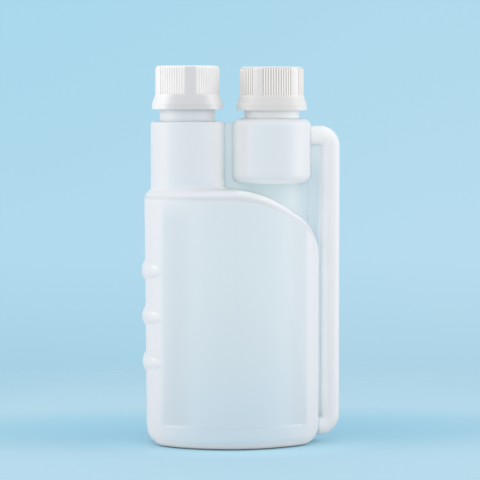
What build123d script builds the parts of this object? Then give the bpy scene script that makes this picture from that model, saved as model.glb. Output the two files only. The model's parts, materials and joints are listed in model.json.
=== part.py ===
from build123d import *
from math import asin, cos, degrees, radians, sin, sqrt
import os

os.makedirs("parts", exist_ok=True)

# Twin neck bottle: a reservoir filled through the left neck, and a dosing chamber under the right
# neck. Squeezing the reservoir pushes liquid up the side tube into the chamber.
# X runs to the right, -Y is the front, Z is up, and the bottle stands on Z = 0.

# Reservoir, front view
left_foot = -45.7  # left side at the foot
left_lean = 0.0075  # how far the left side leans out for each unit of height
right_side = 37.4
reservoir_top = 123.2
shoulder_run = 28.9  # how far in from the right side the flat top starts to slope down
shoulder_drop = 19.7  # how far down the slope reaches the right side
foot_corner = 9.0
shoulder_upper_bend = 46.0
shoulder_lower_bend = 24.0

# Reservoir, plan view
half_depth = 29.0  # the long front and back faces bow outwards to this depth
side_half_depth = 3.3  # depth at which the bowed faces end, just past the sides
side_margin = 0.45
cheek_radius = 25.5  # rounded ends of the bowed faces
cheek_end_angle = 76.0
rim_round = 4.6  # rounding of every edge of the reservoir
corner_margin = 0.4  # the top left corner is this much rounder than the rim

wall = 1.2

# Label panels, a little flatter than the front and the back, so they fade out at their sides and top
panel_foot = 10.5  # height of the ledge below them
panel_depth = 0.6  # depth of that ledge in the middle
panel_half_width = 36.0
panel_height = 100.0
panel_overrun = 3.0  # how far the cut for a panel goes on past its sides

# Push-up under the foot
push_up_length = 50.0
push_up_width = 34.0
push_up_height = 2.2
push_up_slope = 4.0

# Finger ridges on the left side
ridge_count = 3
first_ridge = 39.9  # height of the lowest
ridge_pitch = 22.1
ridge_radius = 8.0
ridge_proud = 1.65
ridge_end_angle = 50.0  # where they have faded into the cheeks

# Filling tower
tower_inset = 19.9  # its axis, in from the left side's foot
tower_radius = 17.65
tower_height = 32.6
tower_edge = 0.6
tower_foot_blend = 3.0

# Dosing chamber
neck_spacing = 40.7  # between the axes of tower and chamber
chamber_radius = 18.9
chamber_lift = 2.9  # gap between the reservoir's top and the chamber's floor
chamber_height = 31.1
chamber_top_round = 3.6
chamber_foot_round = 4.4

# Necks, alike above their shoulders
fill_neck_height = 24.4
dosing_neck_height = 22.5
collar_radius = 13.3
bead_radius = 14.4
bead_height = 1.8
bead_slope = 1.2
bead_below_rim = 14.2
neck_root_radius = 12.4
neck_bore_radius = 10.6

# Transfer tube from the foot of the reservoir to the top of the chamber
tube_offset = 6.0  # its axis, out from the reservoir's right side
tube_radius = 4.6
tube_below_top = 8.1  # its upper run, down from the chamber's top
tube_foot = 7.7
tube_bend = 5.3

# Web that ties tower, chamber, tube and reservoir together, with a thicker land on its left
web_thickness = 1.6
web_land_thickness = 2.4
web_land_inset = 5.0  # where the land ends, in from the reservoir's right side
web_below_top = 0.6  # its upper edge, down from the tower's top

# Screw caps
cap_height = 20.9
cap_top_thickness = 1.4
cap_top_bevel = 1.5  # the top edge is eased by two bevels inside this square
cap_top_bevel_step = 0.45
grip_radius = 15.5
skirt_radius = 17.0
skirt_wall = 1.3
lip_height = 2.6
flare_height = 4.5
cap_bore_radius = 14.0
cap_bore_foot = 6.6
groove_groups = 5
grooves_per_group = 12
groove_pitch = 4.6
groove_width = 0.65
groove_depth = 0.4
groove_foot = 7.3
fill_cap_turn = 3.5  # which way a smooth panel faces, in degrees from the front
dosing_cap_turn = 42.0

# Sealing discs in the caps
liner_thickness = 1.0
liner_clearance = 0.3

# Worked out from the sizes above
left_top = left_foot - left_lean * reservoir_top
shoulder_start = right_side - shoulder_run
shoulder_end = reservoir_top - shoulder_drop
fill_axis = left_foot + tower_inset
dosing_axis = fill_axis + neck_spacing
tower_top = reservoir_top + tower_height
chamber_foot = reservoir_top + chamber_lift
chamber_top = chamber_foot + chamber_height
fill_rim = tower_top + fill_neck_height
dosing_rim = chamber_top + dosing_neck_height
tube_axis = right_side + tube_offset
tube_top = chamber_top - tube_below_top
web_top = tower_top - web_below_top
web_land_edge = right_side - web_land_inset
reservoir_middle = (left_foot + left_top + 2 * right_side) / 4
top_left_corner = rim_round + corner_margin
tower_root = reservoir_top - 2 * rim_round

# The crown is the arc that fits between the cheeks at the front's depth, and the panel's arc is flatter
cheek_reach = reservoir_middle - left_top + side_margin - cheek_radius * sin(radians(cheek_end_angle))
cheek_centre_depth = side_half_depth - cheek_radius * cos(radians(cheek_end_angle))
cheek_drop = half_depth - cheek_centre_depth
crown_radius = (cheek_reach**2 + cheek_drop**2 - cheek_radius**2) / (2 * (cheek_drop - cheek_radius))
crown_angle = degrees(asin(cheek_reach / (crown_radius - cheek_radius)))
crown_rise = crown_radius - sqrt(crown_radius**2 - panel_half_width**2)
panel_rise = crown_rise - panel_depth
panel_radius = (panel_half_width**2 + panel_rise**2) / (2 * panel_rise)
panel_angle = degrees(asin((panel_half_width + panel_overrun) / panel_radius))


def upright(axis, height):
    """The front view's plane, moved to a neck's axis and a height on it."""
    return Plane(origin=(axis, 0, height), x_dir=(1, 0, 0), z_dir=(0, -1, 0))


def centre_line(axis):
    """The upright line through the middle of a neck."""
    return Axis((axis, 0, 0), (0, 0, 1))


def front_corners(inset):
    """Corners of the reservoir's front view, each side moved inwards by the inset."""
    corners = [
        Vector(left_foot, 0),
        Vector(right_side, 0),
        Vector(right_side, shoulder_end),
        Vector(shoulder_start, reservoir_top),
        Vector(left_top, reservoir_top),
    ]
    moved = []
    for number, corner in enumerate(corners):
        side_before = (corner - corners[number - 1]).normalized().rotate(Axis.Z, 90)
        side_after = (corners[(number + 1) % len(corners)] - corner).normalized().rotate(Axis.Z, 90)
        moved.append(corner + (side_before + side_after) * (inset / (1 + side_before.dot(side_after))))
    return moved


def bowed_slab(inset):
    """Everything between the bowed front and back faces, drawn in by the inset."""
    with BuildPart() as slab:
        with BuildSketch(Plane(origin=(reservoir_middle, 0, 0))):
            with BuildLine():
                crown_centre = (0, crown_radius - half_depth)
                crown = CenterArc(crown_centre, crown_radius - inset, 270 - crown_angle, 2 * crown_angle)
                cheek_turn = cheek_end_angle - crown_angle
                right_end = JernArc(crown @ 1, crown % 1, cheek_radius - inset, cheek_turn) @ 1
                left_end = JernArc(crown @ 0, (crown % 0) * -1, cheek_radius - inset, -cheek_turn) @ 1
                mirror(about=Plane.XZ)
                Line(right_end, (right_end.X, -right_end.Y))
                Line(left_end, (left_end.X, -left_end.Y))
            make_face()
        extrude(amount=2 * reservoir_top, both=True)
    return slab.part


def panel_recess(inset):
    """What is cut away in front and behind for the two label panels, leaning out to nothing at their tops."""
    with BuildPart() as recess:
        with BuildSketch(Plane(origin=(reservoir_middle, 0, panel_foot - inset))):
            with BuildLine():
                middle = (0, panel_radius + panel_depth - half_depth)
                floor = CenterArc(middle, panel_radius - inset, 270 - panel_angle, 2 * panel_angle)
                right_end = floor @ 1
                left_end = floor @ 0
                Polyline(right_end, (right_end.X, -2 * half_depth), (left_end.X, -2 * half_depth), left_end)
            make_face()
        extrude(amount=reservoir_top, dir=(0, -panel_depth / panel_height, 1))
        mirror(about=Plane.XZ)
    return recess.part


def reservoir_form(inset):
    """The reservoir as a solid: outside with no inset, its hollow with the wall as inset."""
    bends = [foot_corner, foot_corner, shoulder_lower_bend, shoulder_upper_bend, top_left_corner]
    core_bends = [bend - rim_round for bend in bends]
    with BuildPart() as form:
        # A core with sharp edges, drawn in by the rounding and then grown, so every edge comes out round
        with BuildSketch(Plane.XZ):
            with BuildLine():
                FilletPolyline(*front_corners(rim_round), radius=core_bends, close=True)
            make_face()
        extrude(amount=2 * half_depth, both=True)
        add(bowed_slab(rim_round), mode=Mode.INTERSECT)
        offset(amount=rim_round - inset)
        add(panel_recess(inset), mode=Mode.SUBTRACT)
    return form.part


def push_up(inset):
    """The dome pressed up into the foot, grown by the inset for the inside of the floor."""
    length = push_up_length / 2 + inset
    width = push_up_width / 2 + inset
    with BuildPart() as dome:
        with BuildSketch(Plane(origin=(reservoir_middle, 0, 0))):
            Ellipse(length, width)
        with BuildSketch(Plane(origin=(reservoir_middle, 0, push_up_height + inset))):
            Ellipse(length - push_up_slope, width - push_up_slope)
        loft()
    return dome.part


def finger_ridge(height):
    """A ring inside the reservoir that stands out of its left side and fades into the cheeks."""
    crest = left_foot - left_lean * height - ridge_proud
    end_across = reservoir_middle - cheek_reach - cheek_radius * cos(radians(ridge_end_angle))
    end_depth = cheek_centre_depth + cheek_radius * sin(radians(ridge_end_angle))
    bow = end_across - crest
    ring_radius = (bow**2 + end_depth**2) / (2 * bow)
    with BuildPart() as ridge:
        with Locations((crest + ring_radius, 0, height)):
            Torus(ring_radius - ridge_radius, ridge_radius)
    return ridge.part


def chamber_form(inset):
    """The dosing chamber as a solid, drawn in by the inset."""
    with BuildPart() as chamber:
        with BuildSketch(upright(dosing_axis, 0)):
            with BuildLine():
                side = FilletPolyline(
                    (0, chamber_foot + inset),
                    (chamber_radius - inset, chamber_foot + inset),
                    (chamber_radius - inset, chamber_top - inset),
                    (0, chamber_top - inset),
                    radius=[chamber_foot_round - inset, chamber_top_round - inset],
                )
                Line(side @ 1, side @ 0)
            make_face()
        revolve(axis=centre_line(dosing_axis))
    return chamber.part


def neck_form(axis, foot, rim):
    """A neck without its bore: collar, bead and the barrel that carries the thread."""
    bead_top = rim - bead_below_rim
    bead_foot = bead_top - bead_height
    with BuildPart() as neck:
        with BuildSketch(upright(axis, 0)):
            with BuildLine():
                Polyline(
                    (0, foot),
                    (collar_radius, foot),
                    (collar_radius, bead_foot),
                    (bead_radius, bead_foot),
                    (bead_radius, bead_top - bead_slope),
                    (neck_root_radius, bead_top),
                    (neck_root_radius, rim),
                    (0, rim),
                    close=True,
                )
            make_face()
        revolve(axis=centre_line(axis))
    return neck.part


def tube_form(radius):
    """The transfer tube from inside the reservoir's foot, up the side and into the chamber."""
    with BuildPart() as tube:
        with BuildLine(Plane.XZ) as run:
            FilletPolyline(
                (right_side - foot_corner, tube_foot),
                (tube_axis, tube_foot),
                (tube_axis, tube_top),
                (dosing_axis, tube_top),
                radius=tube_bend,
            )
        with BuildSketch(Plane(origin=run.line @ 0, z_dir=run.line % 0)):
            Circle(radius)
        sweep()
    return tube.part


# Reservoir and tower, outside
with BuildPart() as body:
    add(reservoir_form(0))
    with BuildSketch(Plane(origin=(fill_axis, 0, tower_root))):
        Circle(tower_radius)
    extrude(amount=tower_top - tower_root)
    fillet(body.edges(Select.NEW), tower_foot_blend)
    chamfer(body.edges().group_by(Axis.Z)[-1], tower_edge)

# The hollow: reservoir, tower, chamber, tube and both neck bores are one space
with BuildPart() as hollow:
    add(reservoir_form(wall))
    add(push_up(wall), mode=Mode.SUBTRACT)
    with BuildSketch(Plane(origin=(fill_axis, 0, tower_root))):
        Circle(tower_radius - wall)
    extrude(amount=tower_top - wall - tower_root)
    with BuildSketch(Plane(origin=(fill_axis, 0, tower_root))):
        Circle(neck_bore_radius)
    extrude(amount=fill_rim - tower_root)
    add(chamber_form(wall))
    with BuildSketch(Plane(origin=(dosing_axis, 0, tube_top))):
        Circle(neck_bore_radius)
    extrude(amount=dosing_rim - tube_top)
    add(tube_form(tube_radius - wall))

with BuildPart() as bottle:
    add(body.part)
    for number in range(ridge_count):
        add(finger_ridge(first_ridge + number * ridge_pitch))
    add(neck_form(fill_axis, tower_root, fill_rim))
    add(chamber_form(0))
    add(neck_form(dosing_axis, tube_top, dosing_rim))
    add(tube_form(tube_radius))
    with BuildSketch(Plane.XZ):
        with BuildLine():
            Polyline(
                (fill_axis, tube_foot),
                (tube_axis, tube_foot),
                (tube_axis, tube_top),
                (dosing_axis, tube_top),
                (dosing_axis, web_top),
                (fill_axis, web_top),
                close=True,
            )
        make_face()
    extrude(amount=web_thickness / 2, both=True)
    with BuildSketch(Plane.XZ):
        with BuildLine():
            Polyline(
                (fill_axis, shoulder_end),
                (web_land_edge, shoulder_end),
                (web_land_edge, web_top),
                (fill_axis, web_top),
                close=True,
            )
        make_face()
    extrude(amount=web_land_thickness / 2, both=True)
    add(push_up(0), mode=Mode.SUBTRACT)
    add(hollow.part, mode=Mode.SUBTRACT)
bottle.part.label = "bottle"
export_step(bottle.part, "parts/bottle.step")


def screw_cap(axis, rim, turn):
    """A cap with ribbed grip and flared skirt, seated on its sealing disc above the rim."""
    foot = rim + liner_thickness + cap_top_thickness - cap_height
    flare_top = lip_height + flare_height
    skirt_bore = skirt_radius - skirt_wall
    ceiling = cap_height - cap_top_thickness
    with BuildPart() as cap:
        with BuildSketch(upright(axis, foot)):
            with BuildLine():
                Polyline(
                    (0, ceiling),
                    (cap_bore_radius, ceiling),
                    (cap_bore_radius, cap_bore_foot),
                    (skirt_bore, lip_height),
                    (skirt_bore, 0),
                    (skirt_radius, 0),
                    (skirt_radius, lip_height),
                    (grip_radius, flare_top),
                    (grip_radius, cap_height - cap_top_bevel),
                    (grip_radius - cap_top_bevel_step, cap_height - cap_top_bevel_step),
                    (grip_radius - cap_top_bevel, cap_height),
                    (0, cap_height),
                    close=True,
                )
            make_face()
        revolve(axis=centre_line(axis))
        group_span = (grooves_per_group - 1) * groove_pitch
        with BuildSketch(Plane(origin=(axis, 0, foot + groove_foot))):
            for group in range(groove_groups):
                first = turn - 90 + (group + 0.5) * 360 / groove_groups - group_span / 2
                with PolarLocations(grip_radius, grooves_per_group, first, group_span, endpoint=True):
                    Rectangle(2 * groove_depth, groove_width)
        extrude(amount=cap_height - groove_foot, mode=Mode.SUBTRACT)
    return cap.part


def sealing_disc(axis, rim):
    """The disc between a neck's rim and its cap's ceiling."""
    with BuildPart() as disc:
        with BuildSketch(Plane(origin=(axis, 0, rim))):
            Circle(cap_bore_radius - liner_clearance)
        extrude(amount=liner_thickness)
    return disc.part


necks = (
    ("fill", fill_axis, fill_rim, fill_cap_turn),
    ("dosing", dosing_axis, dosing_rim, dosing_cap_turn),
)
for neck_name, axis, rim, turn in necks:
    cap = screw_cap(axis, rim, turn)
    cap.label = neck_name + "_cap"
    export_step(cap, "parts/" + cap.label + ".step")
    liner = sealing_disc(axis, rim)
    liner.label = neck_name + "_cap_liner"
    export_step(liner, "parts/" + liner.label + ".step")
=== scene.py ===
import json
import math
from types import SimpleNamespace

import bmesh
import bpy
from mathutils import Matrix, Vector
from mathutils.bvhtree import BVHTree


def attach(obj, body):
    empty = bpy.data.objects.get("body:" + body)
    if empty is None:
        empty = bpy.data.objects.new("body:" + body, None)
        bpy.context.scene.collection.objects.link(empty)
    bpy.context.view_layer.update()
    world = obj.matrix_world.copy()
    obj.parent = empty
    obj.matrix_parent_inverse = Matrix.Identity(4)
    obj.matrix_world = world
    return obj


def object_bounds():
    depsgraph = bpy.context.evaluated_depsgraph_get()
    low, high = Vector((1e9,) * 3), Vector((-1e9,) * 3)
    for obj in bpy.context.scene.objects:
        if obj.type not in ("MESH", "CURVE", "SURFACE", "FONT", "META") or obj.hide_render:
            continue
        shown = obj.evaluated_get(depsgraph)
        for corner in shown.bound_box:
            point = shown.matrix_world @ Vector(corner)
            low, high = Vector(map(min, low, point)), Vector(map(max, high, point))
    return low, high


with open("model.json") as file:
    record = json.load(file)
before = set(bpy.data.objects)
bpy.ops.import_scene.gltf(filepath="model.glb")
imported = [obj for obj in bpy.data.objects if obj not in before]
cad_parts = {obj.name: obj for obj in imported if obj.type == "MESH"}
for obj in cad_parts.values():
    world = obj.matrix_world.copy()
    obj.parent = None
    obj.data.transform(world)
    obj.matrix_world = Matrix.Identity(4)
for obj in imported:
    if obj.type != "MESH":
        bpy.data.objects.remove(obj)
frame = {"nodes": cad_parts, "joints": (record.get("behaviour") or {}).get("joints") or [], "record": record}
cad_low, cad_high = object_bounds()

bl_info = {
    "name": "Twin Neck Bottle",
    "version": (1, 0, 0),
    "blender": (4, 5, 0),
    "location": "View3D > Sidebar > Bottle",
    "description": "Dresses a milky twin neck dosing bottle and sets its studio",
    "category": "Object",
}

# Each neck's axis and rim come from the joint that its cap turns on, and the thread's lead from
# the lift that goes with that turn.
NECKS = {
    joint["name"].split("_")[0]: Vector(joint["pos_m"])
    for joint in frame["joints"] if joint["name"].endswith("_turn")
}
THREAD_LEAD = 2 * math.pi * frame["record"]["behaviour"]["couplings"][0]["ratio"]

# The thread's section: shares of its height, each with half its width there in metres
THREAD_SECTION = (
    (-0.0002, 0.00130), (0.25, 0.00112), (0.75, 0.00080), (0.95, 0.00060), (1.0, 0.00035))
THREAD_STEPS_A_TURN = 96
THREAD_RUN_OUT_TURNS = 0.11
THREAD_LEAST_HEIGHT = 0.02
THREAD_END_WIDTH = 0.55
THREAD_SUNK_SHARE = 0.12

# The parting line's section, in half widths and heights, and where its runs start and end in metres
SEAM_SECTION = ((-1.3, -0.3), (-0.8, 0.45), (0, 1.0), (0.8, 0.45), (1.3, -0.3))
SEAM_RUN_OUT_STEPS = 4
SEAM_LEAST_FACING = 0.2
SEAM_STEPS = 260
SEAM_FOOT = 0.009
TOWER_TOP_BELOW_RIM = 0.0250
PINCH_STEPS = 80
PINCH_START = -0.0245
PINCH_LENGTH = 0.040
WELL_OUTSIDE = 0.1

# Which way one smooth panel of each cap faces, and how many panels part its groups of ribs
PANEL_FACING = {"fill": math.radians(-86.5), "dosing": math.radians(-48.0)}
PANEL_COUNT = 5
# How dark the painted shade in each cap's grooves is, and how much painted light whitens its walls where
# they turn to the sides
GROOVE_SHADE = {"fill": 0.14, "dosing": 0.65}
SIDE_LIGHT = {"fill": 0.78, "dosing": 0.5}

# Below are soft edges, each as the start and the end of its run. Where there are two, the zone
# starts at the first and ends at the second.
# Caps: shares of a rib group, distances from the axis and levels over the neck's rim, in metres
RIB_GROUP_END = (0.355, 0.385)
GATE_RING = ((0.0007, 0.0010), (0.0012, 0.0015))
RIB_ROOT = (0.0140, 0.0144)
GROOVE_MOUTH = (0.0150, 0.0154)
CAP_TOP = (0.0018, 0.0022)
GRIP_FOOT = (-0.0116, -0.0108)
LIP_TOP = (-0.0130, -0.0110)

# Shell: the thin web in the middle plane, and its part beside the tube that gets painted shade
WEB_FACE = (0.0013, 0.0022)
WEB_ACROSS = ((-0.0095, -0.0085), (0.040, 0.042))
WEB_TOP = (0.1548, 0.1556)
DIM_WEB_LEFT = (0.018, 0.030)
DIM_WEB_TOP = (0.128, 0.142)
# Shell: the tube, its link to the chamber and the slot between it and the reservoir
TUBE_LEFT = (0.0376, 0.0388)
TUBE_BEHIND_BODY = (0.0400, 0.0452)
TUBE_OUTER_SIDE = (0.0435, 0.0475)
LINK_LEFT = (0.0335, 0.0345)
LINK_FOOT = (0.1392, 0.1402)
SLOT_ACROSS = ((0.0368, 0.0376), (0.0396, 0.0425))
SLOT_UP = ((0.008, 0.024), (0.100, 0.116))
# Shell: the gap between tower and chamber, and the room under the chamber
GAP_ACROSS = ((-0.019, -0.011), (-0.003, 0.002))
GAP_FOOT = (0.121, 0.125)
GAP_DEPTH = (0.008, 0.016)
UNDER_ACROSS = ((-0.006, 0.0), (0.022, 0.031))
UNDER_TOP = (0.1245, 0.1290)
UNDER_LIT_END = (0.008, 0.018)
# Shell: the label panels' upright edges, and the ledge at their foot
LEFT_RIM = ((-0.0400, -0.0368), (-0.0340, -0.0220))
RIGHT_RIM = ((0.0190, 0.0275), (0.0295, 0.0320))
RIMS_UP = ((0.009, 0.012), (0.108, 0.120))
LEDGE_LEVEL = 0.0106
LEDGE_FADE = (0.0002, 0.0007)
LEDGE_MIDDLE = -0.0044
LEDGE_ACROSS = ((0.014, 0.030), (0.0315, 0.0335))
# Shell: levels and widths of foot, finger ridges, shoulder, upper parts and necks
SOLE_TOP = (0.0005, 0.0040)
FOOT_FADE = (0.0, 0.075)
RIDGES_UP = ((0.02, 0.03), (0.085, 0.095))
RIDGES_ACROSS = ((-0.0450, -0.0420), (-0.0385, -0.0365))
TOPS_UP = ((0.085, 0.095), (0.121, 0.124))
SHOULDER_UP = ((0.090, 0.100), (0.128, 0.130))
SHOULDER_SLOPE = (0.0, 0.014)
UPPER_FADE = (0.09, 0.135)
NECK_FOOT = (0.1565, 0.1580)
DOSING_SIDE = (-0.008, -0.003)
# Share of the necks' painted light that the filling neck gets
FILL_NECK_GLOW = 0.3

# Floor: its size, and how far it lies under the foot, in metres
FLOOR_RADIUS = 1.2
FLOOR_DROP = 0.0002
# Ovals on the floor: half width, half depth, and how far the middle lies behind the bottle's axis
WHOLE_FLOOR = (1.0, 1.0, 0.0)
FOOT_GLOW = (1 / 24, 1 / 34, 0.0)
BACK_SHADE = (0.25, 0.085, 0.04)
CAMERA_ASIDE = -0.0004


class ShellSettings(bpy.types.PropertyGroup):
    """Milky polyethylene of the blow-moulded shell."""

    milky: bpy.props.FloatVectorProperty(
        name="Milky plastic", description="Colour of the reservoir's wall",
        subtype="COLOR", size=3, min=0, max=1, default=(0.745, 0.835, 0.885))
    # Painted shade and floor light: a darker, bluer colour laid towards the foot. It also tints the random
    # clouds and streaks, and the painted shade on the web beside the tube.
    foot_tint: bpy.props.FloatVectorProperty(
        name="Foot tint",
        description="Colour towards the foot, where more of the floor shows through",
        subtype="COLOR", size=3, min=0, max=1, default=(0.655, 0.79, 0.885))
    # Painted light: the thin webs are lighter and bluer, as if lit through from behind.
    web_light_tint: bpy.props.FloatVectorProperty(
        name="Web tint", description="Colour of the thin webs between tower, chamber and tube",
        subtype="COLOR", size=3, min=0, max=1, default=(0.84, 0.945, 0.98))
    upper_tint: bpy.props.FloatVectorProperty(
        name="Upper tint",
        description="Colour of the tower, the chamber and the necks, over clear air",
        subtype="COLOR", size=3, min=0, max=1, default=(0.768, 0.822, 0.866))
    tube_tint: bpy.props.FloatVectorProperty(
        name="Tube tint",
        description="Colour of the thin tube, which light comes through from all round",
        subtype="COLOR", size=3, min=0, max=1, default=(0.86, 0.88, 0.91))
    # Painted light: walls that turn to the sides are whiter, where the side lamps fall on them.
    side_lit_tint: bpy.props.FloatVectorProperty(
        name="Side tint",
        description="Colour of walls that don't face the front or the back",
        subtype="COLOR", size=3, min=0, max=1, default=(0.79, 0.805, 0.84))
    # Painted shade: a darker band beside the label panels' upright edges.
    rim_shade_tint: bpy.props.FloatVectorProperty(
        name="Rim tint",
        description="Colour beside the label panels' upright edges, where they fade out",
        subtype="COLOR", size=3, min=0, max=1, default=(0.60, 0.68, 0.74))
    # Painted shade: the rounded tops are darker where they start to face up.
    top_shade_tint: bpy.props.FloatVectorProperty(
        name="Top tint", description="Colour of the rounded tops, where the wall starts to face up",
        subtype="COLOR", size=3, min=0, max=1, default=(0.665, 0.69, 0.73))
    # Painted light: this lighter colour stands in for light in the crevices, on the sole and on the necks,
    # and for painted highlights on the ledge, the shoulder and the ridges.
    painted_light_tint: bpy.props.FloatVectorProperty(
        name="Crevice tint", description="Colour where two thin walls meet and glow",
        subtype="COLOR", size=3, min=0, max=1, default=(0.96, 0.985, 1.0))
    # Painted light: lifts the thin web under the chamber out of the chamber's shadow.
    under_light_tint: bpy.props.FloatVectorProperty(
        name="Under tint", description="Colour of the thin web under the chamber",
        subtype="COLOR", size=3, min=0, max=1, default=(0.88, 0.99, 1.0))
    through_light: bpy.props.FloatVectorProperty(
        name="Light through",
        description="Faint light that comes through the thin walls in the narrow gaps",
        subtype="COLOR", size=3, min=0, max=1, default=(0.045, 0.06, 0.06))
    gloss_spread: bpy.props.FloatProperty(
        name="Roughness", description="Mean roughness of the satin skin",
        subtype="FACTOR", min=0, max=1, default=0.36)
    milkiness: bpy.props.FloatProperty(
        name="Milkiness", description="Share of the light that scatters inside the wall",
        subtype="FACTOR", min=0, max=1, default=0.25)
    edge_softness: bpy.props.FloatProperty(
        name="Edge softness", description="Radius over which the mould's creases look rounded",
        subtype="DISTANCE", unit="LENGTH", default=0.0015)
    seam_width: bpy.props.FloatProperty(
        name="Parting line width", description="Width of the line left where the mould halves met",
        subtype="DISTANCE", unit="LENGTH", default=0.0005)
    seam_proud: bpy.props.FloatProperty(
        name="Parting line height", description="How far the parting line stands off the wall",
        subtype="DISTANCE", unit="LENGTH", default=0.00012)
    thread_turns: bpy.props.FloatProperty(
        name="Thread turns", description="Turns of thread on each neck",
        min=1, max=2.2, default=1.9)
    thread_height: bpy.props.FloatProperty(
        name="Thread height", description="How far the thread stands off the neck",
        subtype="DISTANCE", unit="LENGTH", default=0.00115)
    thread_below_rim: bpy.props.FloatProperty(
        name="Thread below rim", description="Drop from the rim to the top end of the thread",
        subtype="DISTANCE", unit="LENGTH", default=0.0026)


class ClosureSettings(bpy.types.PropertyGroup):
    """White polypropylene of the screw caps and foam of their sealing discs."""

    fill_white: bpy.props.FloatVectorProperty(
        name="Filling cap", description="White of the filling neck's cap",
        subtype="COLOR", size=3, min=0, max=1, default=(1.0, 0.99, 0.99))
    dosing_white: bpy.props.FloatVectorProperty(
        name="Dosing cap", description="Slightly warmer white of the dosing neck's cap",
        subtype="COLOR", size=3, min=0, max=1, default=(1.0, 0.985, 0.97))
    # Painted shade: a darker copy of the filling cap's white, laid on its smooth panels and lip.
    fill_smooth_shade: bpy.props.FloatVectorProperty(
        name="Filling cap, smooth",
        description="Duller white of the filling cap's smooth panels and lip",
        subtype="COLOR", size=3, min=0, max=1, default=(0.71, 0.715, 0.74))
    # Painted shade: a darker copy of the dosing cap's white, laid on its smooth panels and lip.
    dosing_smooth_shade: bpy.props.FloatVectorProperty(
        name="Dosing cap, smooth",
        description="Duller white of the dosing cap's smooth panels and lip",
        subtype="COLOR", size=3, min=0, max=1, default=(0.755, 0.75, 0.745))
    lip_share: bpy.props.FloatProperty(
        name="Flared lip", description="Brightness of the flared lip against the smooth panels",
        subtype="FACTOR", min=0, max=1, default=0.95)
    # Painted shade: a warm grey laid in the grooves between ribs, where shade falls.
    groove_shade_grey: bpy.props.FloatVectorProperty(
        name="Groove grey", description="Warm grey of the dust in the grooves between ribs",
        subtype="COLOR", size=3, min=0, max=1, default=(0.52, 0.48, 0.45))
    gloss_spread: bpy.props.FloatProperty(
        name="Roughness", description="Mean roughness of the caps",
        subtype="FACTOR", min=0, max=1, default=0.4)
    foam: bpy.props.FloatVectorProperty(
        name="Foam", description="Colour of the foamed sealing discs",
        subtype="COLOR", size=3, min=0, max=1, default=(0.8, 0.8, 0.77))
    thread_height: bpy.props.FloatProperty(
        name="Inner thread height",
        description="How far the thread inside a cap stands off its bore",
        subtype="DISTANCE", unit="LENGTH", default=0.001)
    thread_turns: bpy.props.FloatProperty(
        name="Inner thread turns", description="Turns of thread inside each cap",
        min=1, max=2.2, default=1.7)


class StudioSettings(bpy.types.PropertyGroup):
    """Floor, backdrop, lamps and camera."""

    floor: bpy.props.FloatVectorProperty(
        name="Floor", description="Colour of the floor",
        subtype="COLOR", size=3, min=0, max=1, default=(0.47, 0.70, 0.82))
    floor_glow: bpy.props.FloatVectorProperty(
        name="Floor glow",
        description="Colour round the foot, where light comes through the milky shell",
        subtype="COLOR", size=3, min=0, max=1, default=(0.58, 0.86, 0.98))
    floor_shade: bpy.props.FloatVectorProperty(
        name="Floor shade", description="Colour of the soft shade on the floor behind the object",
        subtype="COLOR", size=3, min=0, max=1, default=(0.335, 0.62, 0.785))
    floor_bounce: bpy.props.FloatVectorProperty(
        name="Floor bounce",
        description="Colour of the light that the floor throws back on the object",
        subtype="COLOR", size=3, min=0, max=1, default=(0.62, 0.66, 0.68))
    backdrop_high: bpy.props.FloatVectorProperty(
        name="Backdrop high", description="Backdrop above the object",
        subtype="COLOR", size=3, min=0, max=1, default=(0.386, 0.679, 0.831))
    backdrop_middle: bpy.props.FloatVectorProperty(
        name="Backdrop middle", description="Backdrop behind the object",
        subtype="COLOR", size=3, min=0, max=1, default=(0.44, 0.701, 0.855))
    backdrop_low: bpy.props.FloatVectorProperty(
        name="Backdrop low", description="Backdrop where it runs into the floor",
        subtype="COLOR", size=3, min=0, max=1, default=(0.365, 0.625, 0.768))
    air_light: bpy.props.FloatProperty(
        name="Air light", description="Even light from all round", min=0, max=2, default=0.85)
    lamp_power: bpy.props.FloatProperty(
        name="Lamp power", description="Power of the soft boxes together",
        unit="POWER", min=0, default=4.6)
    camera_distance: bpy.props.FloatProperty(
        name="Camera distance", description="From the camera to the upright axis",
        subtype="DISTANCE", unit="LENGTH", default=1.068)
    camera_height: bpy.props.FloatProperty(
        name="Camera height", description="Height of the camera over the floor",
        subtype="DISTANCE", unit="LENGTH", default=0.1697)
    camera_turn: bpy.props.FloatProperty(
        name="Camera turn", description="How far the camera stands round to the left",
        subtype="ANGLE", unit="ROTATION", default=math.radians(3.55))
    camera_tilt: bpy.props.FloatProperty(
        name="Camera tilt", description="How far the camera looks down",
        subtype="ANGLE", unit="ROTATION", default=math.radians(3.82))
    lens: bpy.props.FloatProperty(
        name="Lens", description="Focal length",
        subtype="DISTANCE_CAMERA", unit="CAMERA", default=165.6)


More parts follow.
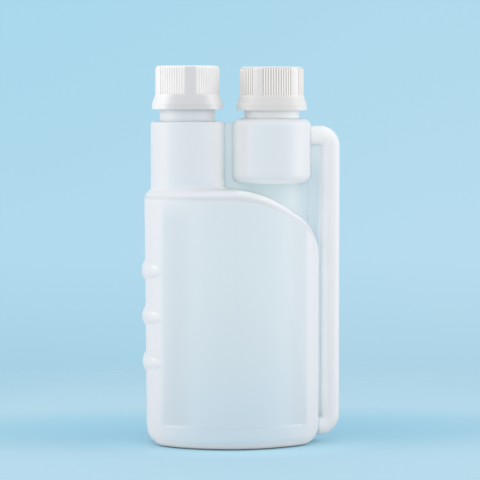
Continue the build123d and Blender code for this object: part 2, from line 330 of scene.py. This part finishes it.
class Wire:
    """One socket of a node tree. Sums on it add their Math nodes."""

    def __init__(self, tree, socket=None):
        self.tree = tree
        self.socket = socket

    def node(self, kind, settings=None, sockets=None, output=0):
        """Adds a node: its settings first, then the values or links of its sockets."""
        made = self.tree.nodes.new(kind)
        for name, value in (settings or {}).items():
            if name == "stops":
                stops = made.color_ramp.elements
                while len(stops) < len(value):
                    stops.new(0.5)
                for stop, (place, colour) in zip(stops, value):
                    stop.position = place
                    stop.color = colour
            else:
                setattr(made, name, value)
        for name, value in (sockets or {}).items():
            if isinstance(value, Wire):
                self.tree.links.new(value.socket, made.inputs[name])
            else:
                made.inputs[name].default_value = value
        return Wire(self.tree, made.outputs[output] if made.outputs else None)

    def maths(self, operation, *values):
        return self.node("ShaderNodeMath", {"operation": operation}, dict(enumerate(values)))

    def __add__(self, other):
        return self.maths("ADD", self, other)

    def __radd__(self, other):
        return self.maths("ADD", other, self)

    def __sub__(self, other):
        return self.maths("SUBTRACT", self, other)

    def __rsub__(self, other):
        return self.maths("SUBTRACT", other, self)

    def __mul__(self, other):
        return self.maths("MULTIPLY", self, other)

    def __rmul__(self, other):
        return self.maths("MULTIPLY", other, self)

    def __truediv__(self, other):
        return self.maths("DIVIDE", self, other)

    def __rtruediv__(self, other):
        return self.maths("DIVIDE", other, self)

    def __abs__(self):
        return self.maths("ABSOLUTE", self)

    def most(self, *others):
        """The greatest of this value and some others."""
        greatest = self
        for other in others:
            greatest = self.maths("MAXIMUM", greatest, other)
        return greatest

    def after(self, start, end):
        """0 up to start and 1 from end, with a soft run between them."""
        return self.node(
            "ShaderNodeMapRange", {"interpolation_type": "SMOOTHSTEP"},
            {"Value": self, "From Min": start, "From Max": end})

    def before(self, start, end):
        """1 up to start and 0 from end, with a soft run between them."""
        return 1 - self.after(start, end)

    def within(self, rise, fall):
        """1 between two soft edges, each given by the start and the end of its run."""
        return self.after(*rise) * self.before(*fall)

    def axes(self):
        """The three values of this vector, apart."""
        apart = self.node("ShaderNodeSeparateXYZ", None, {0: self}).socket.node
        return [Wire(self.tree, socket) for socket in apart.outputs]

    def mix(self, share, one, two, blend="MIX"):
        """A colour on the way from one to another by a share. Both are wires or three values."""
        one, two = (end if isinstance(end, Wire) else opaque(end) for end in (one, two))
        return self.node(
            "ShaderNodeMix", {"data_type": "RGBA", "blend_type": blend},
            {0: share, 6: one, 7: two}, 2)

    def towards(self, colour, share):
        """This colour, mixed towards another one by a share."""
        return self.mix(share, self, colour)


def opaque(colour):
    return (*colour, 1.0)


def fresh_tree(owner):
    """The emptied node tree of a material or a world."""
    owner.use_nodes = True
    owner.node_tree.nodes.clear()
    return Wire(owner.node_tree)


def place_and_axes(tree):
    """Place on the object in metres, and its three values apart."""
    place = tree.node("ShaderNodeTexCoord", output="Object")
    return place, *place.axes()


def wall_facing(tree):
    """How far the wall turns away from front and back, and how far it faces up."""
    _, front, up = tree.node("ShaderNodeNewGeometry", output="Normal").axes()
    return 1 - abs(front), up


def mottle(tree, place, scale, detail=3.0, stretch=(1, 1, 1)):
    """Soft cloudy values round 0.5, drawn out along an axis by stretch."""
    drawn = tree.node("ShaderNodeVectorMath", {"operation": "MULTIPLY"}, {0: place, 1: stretch})
    return tree.node("ShaderNodeTexNoise", None, {
        "Vector": drawn, "Scale": scale, "Detail": detail})


def shell_zones(x, y, z):
    """The shell's zones by place, each 1 inside and 0 outside."""
    off_middle = abs(y)
    web = off_middle.before(*WEB_FACE) * x.within(*WEB_ACROSS) * z.before(*WEB_TOP)
    link = off_middle.after(*WEB_FACE) * x.after(*LINK_LEFT) * z.after(*LINK_FOOT)
    tube = x.after(*TUBE_LEFT).most(link)
    above_shoulder = z.after(*GAP_FOOT)
    gap = x.within(*GAP_ACROSS) * above_shoulder * off_middle.before(*GAP_DEPTH) * (1 - web)
    under = x.within(*UNDER_ACROSS) * z.before(*UNDER_TOP) * above_shoulder.most(web)
    rims = (x.within(*LEFT_RIM) + x.within(*RIGHT_RIM)) * z.within(*RIMS_UP)
    ledge = abs(z - LEDGE_LEVEL).before(*LEDGE_FADE) * abs(x - LEDGE_MIDDLE).within(*LEDGE_ACROSS)
    slot = x.within(*SLOT_ACROSS) * z.within(*SLOT_UP)
    # The necks get painted light against the caps' shadow, the filling neck only a share of it.
    neck_glow = FILL_NECK_GLOW + (1 - FILL_NECK_GLOW) * x.after(*DOSING_SIDE)
    return SimpleNamespace(
        web=web,
        dim_web=web * x.after(*DIM_WEB_LEFT) * z.before(*DIM_WEB_TOP),
        tube=tube,
        tube_side=x.after(*TUBE_OUTER_SIDE),
        under=under,
        crevice=gap.most(under, tube * x.before(*TUBE_BEHIND_BODY)),
        lit_gap=slot.most(under * x.before(*UNDER_LIT_END)),
        rims=rims,
        ledge=ledge,
        sole=z.before(*SOLE_TOP),
        low=z.before(*FOOT_FADE),
        ridges=x.within(*RIDGES_ACROSS) * z.within(*RIDGES_UP),
        tops=z.within(*TOPS_UP),
        shoulder=z.within(*SHOULDER_UP) * x.after(*SHOULDER_SLOPE),
        upper=z.after(*UPPER_FADE),
        necks=z.after(*NECK_FOOT) * neck_glow,
    )


def shell_plastic(settings):
    """Milky plastic with painted light and shade: bluish where the wall is thin and lit through, lighter in
    crevices and on painted highlights, darker towards the foot and on the sides' edges, with faint streaks
    drawn down the moulding.
    """
    material = bpy.data.materials.new("milky_shell")
    tree = fresh_tree(material)
    place, *axes = place_and_axes(tree)
    zones = shell_zones(*axes)
    sideways, upward = wall_facing(tree)
    clouds = mottle(tree, place, 32.0)
    streaks = mottle(tree, place, 300.0, 2.0, (1, 1, 0.012))
    skin = mottle(tree, place, 1500.0, 1.0)
    # Painted light: lighter in the crevices, on the sole and on the necks, where shade falls, with painted
    # highlights along the foot of the label panels, on the shoulder's top and on the ridges' tops.
    glow = zones.crevice.most(
        zones.sole, zones.necks, zones.ledge * 0.45,
        zones.shoulder * upward.after(0.35, 0.7) * 0.45, zones.ridges * upward.after(0.10, 0.45))
    # Each tint is laid over those before it, by its share at the place.
    tints = (
        (settings.upper_tint, zones.upper),
        (settings.foot_tint, clouds.after(0.3, 0.7) * 0.10 + streaks.after(0.45, 0.75) * 0.06),
        # Painted light: walls that turn to the sides are whiter, where the side lamps fall on them.
        (settings.side_lit_tint, sideways.after(0.0, 0.34) * 0.95),
        # Painted shade beside the label panels' upright edges.
        (settings.rim_shade_tint, zones.rims * sideways.before(0.3, 0.5) * 0.5),
        # Painted shade on the rounded tops where they start to face up.
        (settings.top_shade_tint, zones.tops * upward.within((0.02, 0.15), (0.3, 0.6)) * 0.7),
        # Painted light on the thin webs.
        (settings.web_light_tint, zones.web),
        # Painted shade on the web beside the tube.
        (settings.foot_tint, zones.dim_web * 0.6),
        (settings.tube_tint, zones.tube),
        # Painted shade: the tube's outer side takes the side walls' colour, a little darker than the rest of
        # the tube.
        (settings.side_lit_tint, zones.tube_side * 0.75),
        # Painted light in the crevices, on the sole and the necks, and painted highlights on the ledge, the
        # shoulder and the ridges.
        (settings.painted_light_tint, glow),
        # Painted light under the chamber, against its shadow.
        (settings.under_light_tint, zones.under),
    )
    # Painted shade: darker and bluer towards the foot, where the floor's light shows through.
    colour = tree.mix(zones.low * 0.8, settings.milky, settings.foot_tint)
    for tint, share in tints:
        colour = colour.towards(tint, share)
    grain = streaks * 0.35 + skin * 0.4 + clouds * 0.5
    crease = tree.node("ShaderNodeBevel", {"samples": 6}, {"Radius": settings.edge_softness})
    relief = tree.node("ShaderNodeBump", None, {
        "Strength": 0.22, "Distance": 0.0002, "Height": grain, "Normal": crease})
    body = tree.node("ShaderNodeBsdfPrincipled", None, {
        "Base Color": colour,
        "Roughness": settings.gloss_spread + 0.14 * (clouds - 0.5) + 0.10 * (streaks - 0.5),
        "Normal": relief,
        "Emission Color": tree.mix(zones.lit_gap, (0.0, 0.0, 0.0), settings.through_light),
        "Emission Strength": 1.0,
        "IOR": 1.53,
        "Subsurface Weight": settings.milkiness,
        "Subsurface Radius": (1.0, 1.0, 1.0),
        "Subsurface Scale": 0.0006,
    })
    tree.node("ShaderNodeOutputMaterial", None, {"Surface": body})
    return material


def cap_plastic(settings, neck, white, smooth):
    """Satin plastic with painted light and shade: white on the ribs, against the shade between them, and at
    the sides, where the side lamps fall; a darker, shaded copy of the white on the smooth panels and the
    lip; painted shade in the grooves; and the gate mark on top."""
    material = bpy.data.materials.new(neck + "_cap_white")
    tree = fresh_tree(material)
    place, x, y, z = place_and_axes(tree)
    axis = NECKS[neck]
    clouds = mottle(tree, place, 90.0)
    skin = mottle(tree, place, 2200.0, 1.0)
    level = z - axis.z
    out = tree.node("ShaderNodeVectorMath", {"operation": "DISTANCE"}, {
        0: tree.node("ShaderNodeCombineXYZ", None, {0: x, 1: y, 2: 0.0}),
        1: (axis.x, axis.y, 0.0)}, "Value")
    round_cap = tree.maths("ARCTAN2", y - axis.y, x - axis.x) - PANEL_FACING[neck]
    in_group = tree.maths("FRACT", round_cap * (PANEL_COUNT / (2 * math.pi)) + 2)
    on_top = level.after(*CAP_TOP)
    gate = out.within(*GATE_RING) * on_top
    on_grip = level.after(*GRIP_FOOT) * out.after(*RIB_ROOT)
    ribs = abs(in_group - 0.5).before(*RIB_GROUP_END) * on_grip
    groove = ribs * out.before(*GROOVE_MOUTH) * (1 - on_top)
    sideways, _ = wall_facing(tree)
    # Painted light: the ribs are whiter, against the shade between them, and so are the walls that turn to
    # the sides, where the side lamps fall.
    bright = ribs.most(sideways.after(0.06, 0.32) * SIDE_LIGHT[neck])
    lip = level.before(*LIP_TOP) * (1 - bright)
    # Painted shade: the smooth panels take the darker copy of the white, and the lip a share of it.
    colour = tree.mix(1 - bright + clouds.after(0.35, 0.7) * 0.08, white, smooth)
    colour = colour.towards([settings.lip_share * part for part in smooth], lip)
    # Painted shade in the grooves.
    colour = colour.towards(settings.groove_shade_grey, groove * GROOVE_SHADE[neck])
    crease = tree.node("ShaderNodeBevel", {"samples": 6}, {"Radius": 0.00018})
    relief = tree.node("ShaderNodeBump", None, {
        "Strength": 0.25, "Distance": 0.0002, "Height": skin * 0.3 + clouds * 0.25 - gate,
        "Normal": crease})
    body = tree.node("ShaderNodeBsdfPrincipled", {"subsurface_method": "RANDOM_WALK"}, {
        "Base Color": colour,
        "Roughness": settings.gloss_spread + 0.16 * (clouds - 0.5),
        "Normal": relief,
        "IOR": 1.49,
        "Specular IOR Level": 0.3,
        "Subsurface Weight": 0.12,
        "Subsurface Radius": (1.0, 0.95, 0.9),
        "Subsurface Scale": 0.001,
    })
    tree.node("ShaderNodeOutputMaterial", None, {"Surface": body})
    return material


def liner_foam(settings):
    """Matt foam with fine closed cells."""
    material = bpy.data.materials.new("liner_foam")
    tree = fresh_tree(material)
    place = place_and_axes(tree)[0]
    cells = tree.node("ShaderNodeTexVoronoi", None, {"Vector": place, "Scale": 2600.0})
    clouds = mottle(tree, place, 220.0)
    dull = [0.82 * part for part in settings.foam]
    relief = tree.node("ShaderNodeBump", None, {
        "Strength": 0.5, "Distance": 0.0001, "Height": cells})
    body = tree.node("ShaderNodeBsdfPrincipled", None, {
        "Base Color": tree.mix(clouds.after(0.3, 0.7) * 0.25, settings.foam, dull),
        "Roughness": 0.72 + 0.2 * (clouds - 0.5),
        "Normal": relief,
    })
    tree.node("ShaderNodeOutputMaterial", None, {"Surface": body})
    return material


def dress(node, material):
    """Gives a node its one material."""
    held = frame["nodes"][node].data.materials
    held.clear()
    held.append(material)


def carry(name, faces, material, body):
    """Makes a piece from a filled bmesh, smooth shaded, and lets it ride on a body."""
    bmesh.ops.recalc_face_normals(faces, faces=faces.faces)
    mesh = bpy.data.meshes.new(name)
    faces.to_mesh(mesh)
    faces.free()
    mesh.shade_smooth()
    mesh.materials.append(material)
    piece = bpy.data.objects.new(name, mesh)
    bpy.context.scene.collection.objects.link(piece)
    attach(piece, body)


def thread_ridge(axis, root, height, top, turns, turn_start):
    """A right-hand thread: a rounded ridge wound round an upright axis, run out at both ends.
    A height below zero makes the ridge stand inwards, as in a cap."""
    section = [(share, -half) for share, half in THREAD_SECTION]
    section += [(share, half) for share, half in reversed(THREAD_SECTION)]
    steps = round(THREAD_STEPS_A_TURN * turns)
    faces = bmesh.new()
    rows = []
    for step in range(steps + 1):
        along = step / steps
        angle = turn_start + 2 * math.pi * turns * along
        level = top - THREAD_LEAD * turns * (1 - along)
        run = min(1.0, turns * min(along, 1 - along) / THREAD_RUN_OUT_TURNS)
        full = max(THREAD_LEAST_HEIGHT, run * run * (3 - 2 * run))
        row = []
        for share, half in section:
            out = root + height * (share * full - THREAD_SUNK_SHARE)
            row.append(faces.verts.new((
                axis.x + out * math.cos(angle), axis.y + out * math.sin(angle),
                level + half * (THREAD_END_WIDTH + (1 - THREAD_END_WIDTH) * full))))
        rows.append(row)
    for one, two in zip(rows, rows[1:]):
        for n in range(len(section)):
            m = (n + 1) % len(section)
            faces.faces.new((one[n], one[m], two[m], two[n]))
    faces.faces.new(reversed(rows[0]))
    faces.faces.new(rows[-1])
    return faces


def radius_at(node, axis, level, from_inside):
    """Distance from an upright axis to a node's wall at a level, met from inside or outside."""
    tree = BVHTree.FromObject(frame["nodes"][node], bpy.context.evaluated_depsgraph_get())
    middle = Vector((axis.x, axis.y, level))
    start = middle if from_inside else middle + Vector((0, -WELL_OUTSIDE, 0))
    way = Vector((0, -1, 0)) if from_inside else Vector((0, 1, 0))
    hit = tree.ray_cast(start, way)[0]
    if hit is None:
        raise RuntimeError(f"{node} has no wall round its axis at {level:.4f} m")
    return (hit - middle).length


def seam_strip(tree, starts, way, settings):
    """A low rounded strip along the points where rays from the starts meet the shell."""
    met = []
    for start in starts:
        point, normal = tree.ray_cast(start, way)[:2]
        if point is not None and normal.dot(way) < -SEAM_LEAST_FACING:
            met.append((point, Vector((normal.x, 0, normal.z)).normalized()))
    faces = bmesh.new()
    half = settings.seam_width / 2
    rows = []
    for step, (point, normal) in enumerate(met):
        run = min(1.0, min(step, len(met) - 1 - step) / SEAM_RUN_OUT_STEPS)
        row = []
        for side, rise in SEAM_SECTION:
            place = point + normal * settings.seam_proud * (rise if rise < 0 else rise * run)
            inside = min(max(place.x, cad_low.x), cad_high.x)
            row.append(faces.verts.new((inside, side * half, max(place.z, cad_low.z))))
        rows.append(row)
    for one, two in zip(rows, rows[1:]):
        for n in range(len(SEAM_SECTION) - 1):
            faces.faces.new((one[n], one[n + 1], two[n + 1], two[n]))
    return faces


class TWINNECK_OT_shell(bpy.types.Operator):
    """Gives the blow-moulded shell its milky plastic"""

    bl_idname = "twinneck.shell"
    bl_label = "Dress the shell"

    def execute(self, context):
        dress("bottle", shell_plastic(context.scene.twinneck_shell))
        return {"FINISHED"}


class TWINNECK_OT_caps(bpy.types.Operator):
    """Gives the two screw caps their white plastic"""

    bl_idname = "twinneck.caps"
    bl_label = "Dress the caps"

    def execute(self, context):
        settings = context.scene.twinneck_closures
        whites = {
            "fill": (settings.fill_white, settings.fill_smooth_shade),
            "dosing": (settings.dosing_white, settings.dosing_smooth_shade),
        }
        for neck, (white, smooth) in whites.items():
            dress(neck + "_cap", cap_plastic(settings, neck, white, smooth))
        return {"FINISHED"}


class TWINNECK_OT_liners(bpy.types.Operator):
    """Gives the sealing discs inside the caps their foam"""

    bl_idname = "twinneck.liners"
    bl_label = "Dress the sealing discs"

    def execute(self, context):
        foam = liner_foam(context.scene.twinneck_closures)
        for neck in NECKS:
            dress(neck + "_cap_liner", foam)
        return {"FINISHED"}


class TWINNECK_OT_neck_threads(bpy.types.Operator):
    """Winds the thread on each neck that its cap screws on to"""

    bl_idname = "twinneck.neck_threads"
    bl_label = "Add the neck threads"

    def execute(self, context):
        settings = context.scene.twinneck_shell
        plastic = bpy.data.materials["milky_shell"]
        for neck, axis in NECKS.items():
            top = axis.z - settings.thread_below_rim
            root = radius_at("bottle", axis, top - THREAD_LEAD, False)
            ridge = thread_ridge(
                axis, root, settings.thread_height, top, settings.thread_turns, 0.0)
            carry(neck + "_neck_thread", ridge, plastic, "bottle_body")
        return {"FINISHED"}


class TWINNECK_OT_cap_threads(bpy.types.Operator):
    """Winds the thread inside each cap, half a lead below the thread of its neck"""

    bl_idname = "twinneck.cap_threads"
    bl_label = "Add the cap threads"

    def execute(self, context):
        settings = context.scene.twinneck_closures
        shell = context.scene.twinneck_shell
        turn_start = 2 * math.pi * shell.thread_turns - 2 * math.pi * settings.thread_turns
        for neck, axis in NECKS.items():
            top = axis.z - shell.thread_below_rim
            bore = radius_at(neck + "_cap", axis, top - THREAD_LEAD, True)
            ridge = thread_ridge(
                axis, bore, -settings.thread_height, top - THREAD_LEAD / 2,
                settings.thread_turns, turn_start)
            plastic = bpy.data.materials[neck + "_cap_white"]
            carry(neck + "_cap_thread", ridge, plastic, neck + "_closure")
        return {"FINISHED"}


class TWINNECK_OT_parting_line(bpy.types.Operator):
    """Draws the line left by the mould's halves down both sides, and the seam under the foot"""

    bl_idname = "twinneck.parting_line"
    bl_label = "Add the parting line"

    def execute(self, context):
        settings = context.scene.twinneck_shell
        shell = frame["nodes"]["bottle"]
        tree = BVHTree.FromObject(shell, context.evaluated_depsgraph_get())
        rise = NECKS["fill"].z - TOWER_TOP_BELOW_RIM - SEAM_FOOT
        levels = [SEAM_FOOT + rise * n / SEAM_STEPS for n in range(SEAM_STEPS + 1)]
        places = [PINCH_START + PINCH_LENGTH * n / PINCH_STEPS for n in range(PINCH_STEPS + 1)]
        runs = {
            "grip_side_seam": (
                [Vector((-WELL_OUTSIDE, 0, level)) for level in levels], Vector((1, 0, 0))),
            "tube_side_seam": (
                [Vector((WELL_OUTSIDE, 0, level)) for level in levels], Vector((-1, 0, 0))),
            "foot_pinch_seam": (
                [Vector((place, 0, -WELL_OUTSIDE)) for place in places], Vector((0, 0, 1))),
        }
        for name, (starts, way) in runs.items():
            strip = seam_strip(tree, starts, way, settings)
            carry(name, strip, shell.data.materials[0], "bottle_body")
        return {"FINISHED"}


class TWINNECK_OT_studio(bpy.types.Operator):
    """Sets the pale floor, the backdrop's colour, the soft boxes and the camera"""

    bl_idname = "twinneck.studio"
    bl_label = "Set the studio"

    def execute(self, context):
        settings = context.scene.twinneck_studio
        context.scene.view_settings.view_transform = "Standard"
        self.floor(context, settings)
        self.backdrop(context, settings)
        self.lamps(context, settings)
        self.camera(context, settings)
        return {"FINISHED"}

    def shown(self, tree):
        """1 for what the eye sees, also in gloss and through plastic, 0 for light on the object."""
        path = tree.node("ShaderNodeLightPath").socket.node.outputs
        kinds = ("Is Camera Ray", "Is Glossy Ray", "Is Transmission Ray")
        seen, *others = (Wire(tree.tree, path[kind]) for kind in kinds)
        return seen.most(*others)

    def oval(self, place, half_width, half_depth, behind):
        """0 in the middle of an oval on the floor, 1 on its rim and more outside."""
        drawn = place.node("ShaderNodeVectorMath", {"operation": "MULTIPLY_ADD"}, {
            0: place,
            1: (1 / half_width, 1 / half_depth, 0.0),
            2: (0.0, -behind / half_depth, 0.0)})
        return drawn.node("ShaderNodeVectorMath", {"operation": "LENGTH"}, {0: drawn}, "Value")

    def floor(self, context, settings):
        """A round floor that fades into the backdrop, with a glow and a shade round the foot."""
        faces = bmesh.new()
        bmesh.ops.create_circle(faces, cap_ends=True, segments=128, radius=FLOOR_RADIUS)
        mesh = bpy.data.meshes.new("floor")
        faces.to_mesh(mesh)
        faces.free()
        floor = bpy.data.objects.new("floor", mesh)
        floor.location.z = -FLOOR_DROP
        context.scene.collection.objects.link(floor)
        material = bpy.data.materials.new("pale_blue_floor")
        tree = fresh_tree(material)
        place = place_and_axes(tree)[0]
        clouds = mottle(tree, place, 14.0)
        glow = self.oval(place, *FOOT_GLOW).before(0.9, 1.9)
        shade = self.oval(place, *BACK_SHADE).before(0.2, 1.1)
        colour = tree.mix(clouds * 0.06, settings.floor, settings.backdrop_low)
        colour = colour.towards(settings.floor_glow, glow)
        colour = colour.towards(settings.floor_shade, shade)
        colour = colour.towards(settings.floor_bounce, 1 - self.shown(tree))
        paper = tree.node("ShaderNodeBsdfPrincipled", None, {
            "Base Color": colour, "Roughness": 0.55 + 0.1 * clouds, "Specular IOR Level": 0.3})
        beyond = tree.node("ShaderNodeBsdfTransparent")
        fade = self.oval(place, *WHOLE_FLOOR).after(0.13, 0.34)
        blend = tree.node("ShaderNodeMixShader", None, {0: fade, 1: paper, 2: beyond})
        tree.node("ShaderNodeOutputMaterial", None, {"Surface": blend})
        mesh.materials.append(material)

    def backdrop(self, context, settings):
        """The colours behind the object, and even white light on it from all round."""
        world = bpy.data.worlds.new("studio_air")
        context.scene.world = world
        tree = fresh_tree(world)
        aside, _, rise = tree.node("ShaderNodeTexCoord", output="Generated").axes()
        up_the_ramp = (rise + 0.2) / 0.3
        right_warmth = (0.036, 0.015, 0.008)
        seen = tree.node("ShaderNodeValToRGB", {"stops": [
            (0.0, opaque(settings.floor)),
            (0.20, opaque(settings.backdrop_low)),
            (0.42, opaque(settings.backdrop_middle)),
            (0.90, opaque(settings.backdrop_high)),
        ]}, {0: up_the_ramp})
        seen = tree.mix(aside.after(-0.05, 0.17), seen, right_warmth, "ADD")
        shown = self.shown(tree)
        light = tree.node("ShaderNodeBackground", None, {
            "Color": tree.mix(shown, (1.0, 1.0, 1.0), seen),
            "Strength": shown + (1 - shown) * settings.air_light})
        tree.node("ShaderNodeOutputWorld", None, {"Surface": light})

    def lamps(self, context, settings):
        """Soft boxes, each with its place, its size and its share of the power."""
        boxes = {
            "left_soft_box": ((-0.80, -0.12, 0.32), (0.6, 0.9), 0.43),
            "right_soft_box": ((0.80, -0.12, 0.30), (0.6, 0.9), 0.46),
            "top_soft_box": ((0.0, -0.10, 0.95), (0.9, 0.9), 0.06),
            "front_soft_box": ((-0.30, -1.10, 0.60), (0.9, 0.7), 0.10),
        }
        middle = (cad_low + cad_high) / 2
        for name, (place, size, share) in boxes.items():
            lamp = bpy.data.lights.new(name, "AREA")
            lamp.shape = "RECTANGLE"
            lamp.size, lamp.size_y = size
            lamp.energy = settings.lamp_power * share
            lamp.color = (1.0, 0.995, 0.985)
            box = bpy.data.objects.new(name, lamp)
            box.location = place
            box.rotation_euler = (middle - box.location).to_track_quat("-Z", "Y").to_euler()
            context.scene.collection.objects.link(box)

    def camera(self, context, settings):
        """The camera in front, a little to the left and looking down."""
        lens = bpy.data.cameras.new("camera")
        lens.lens = settings.lens
        lens.sensor_width = 36
        camera = bpy.data.objects.new("camera", lens)
        turn = settings.camera_turn
        camera.location = (
            -settings.camera_distance * math.sin(turn) + CAMERA_ASIDE,
            -settings.camera_distance * math.cos(turn),
            settings.camera_height)
        camera.rotation_euler = (math.pi / 2 - settings.camera_tilt, 0, -turn)
        context.scene.collection.objects.link(camera)
        context.scene.camera = camera


class TWINNECK_PT_panel(bpy.types.Panel):
    """Lists the bottle's settings and steps"""

    bl_idname = "TWINNECK_PT_panel"
    bl_label = "Twin neck bottle"
    bl_space_type = "VIEW_3D"
    bl_region_type = "UI"
    bl_category = "Bottle"

    def draw(self, context):
        for name, group in SETTINGS.items():
            column = self.layout.column(heading=group.bl_rna.description)
            for setting in group.__annotations__:
                column.prop(getattr(context.scene, name), setting)
        for step in STEPS:
            self.layout.operator(step.bl_idname)


STEPS = (
    TWINNECK_OT_shell, TWINNECK_OT_caps, TWINNECK_OT_liners, TWINNECK_OT_neck_threads,
    TWINNECK_OT_cap_threads, TWINNECK_OT_parting_line, TWINNECK_OT_studio,
)
SETTINGS = {
    "twinneck_shell": ShellSettings,
    "twinneck_closures": ClosureSettings,
    "twinneck_studio": StudioSettings,
}


def register():
    for name, group in SETTINGS.items():
        bpy.utils.register_class(group)
        setattr(bpy.types.Scene, name, bpy.props.PointerProperty(type=group))
    for part in (*STEPS, TWINNECK_PT_panel):
        bpy.utils.register_class(part)


def unregister():
    for part in (TWINNECK_PT_panel, *reversed(STEPS)):
        bpy.utils.unregister_class(part)
    for name, group in SETTINGS.items():
        delattr(bpy.types.Scene, name)
        bpy.utils.unregister_class(group)


def main():
    register()
    bpy.ops.twinneck.shell()
    bpy.ops.twinneck.caps()
    bpy.ops.twinneck.liners()
    bpy.ops.twinneck.neck_threads()
    bpy.ops.twinneck.cap_threads()
    bpy.ops.twinneck.parting_line()
    bpy.ops.twinneck.studio()


if __name__ == "__main__":
    main()
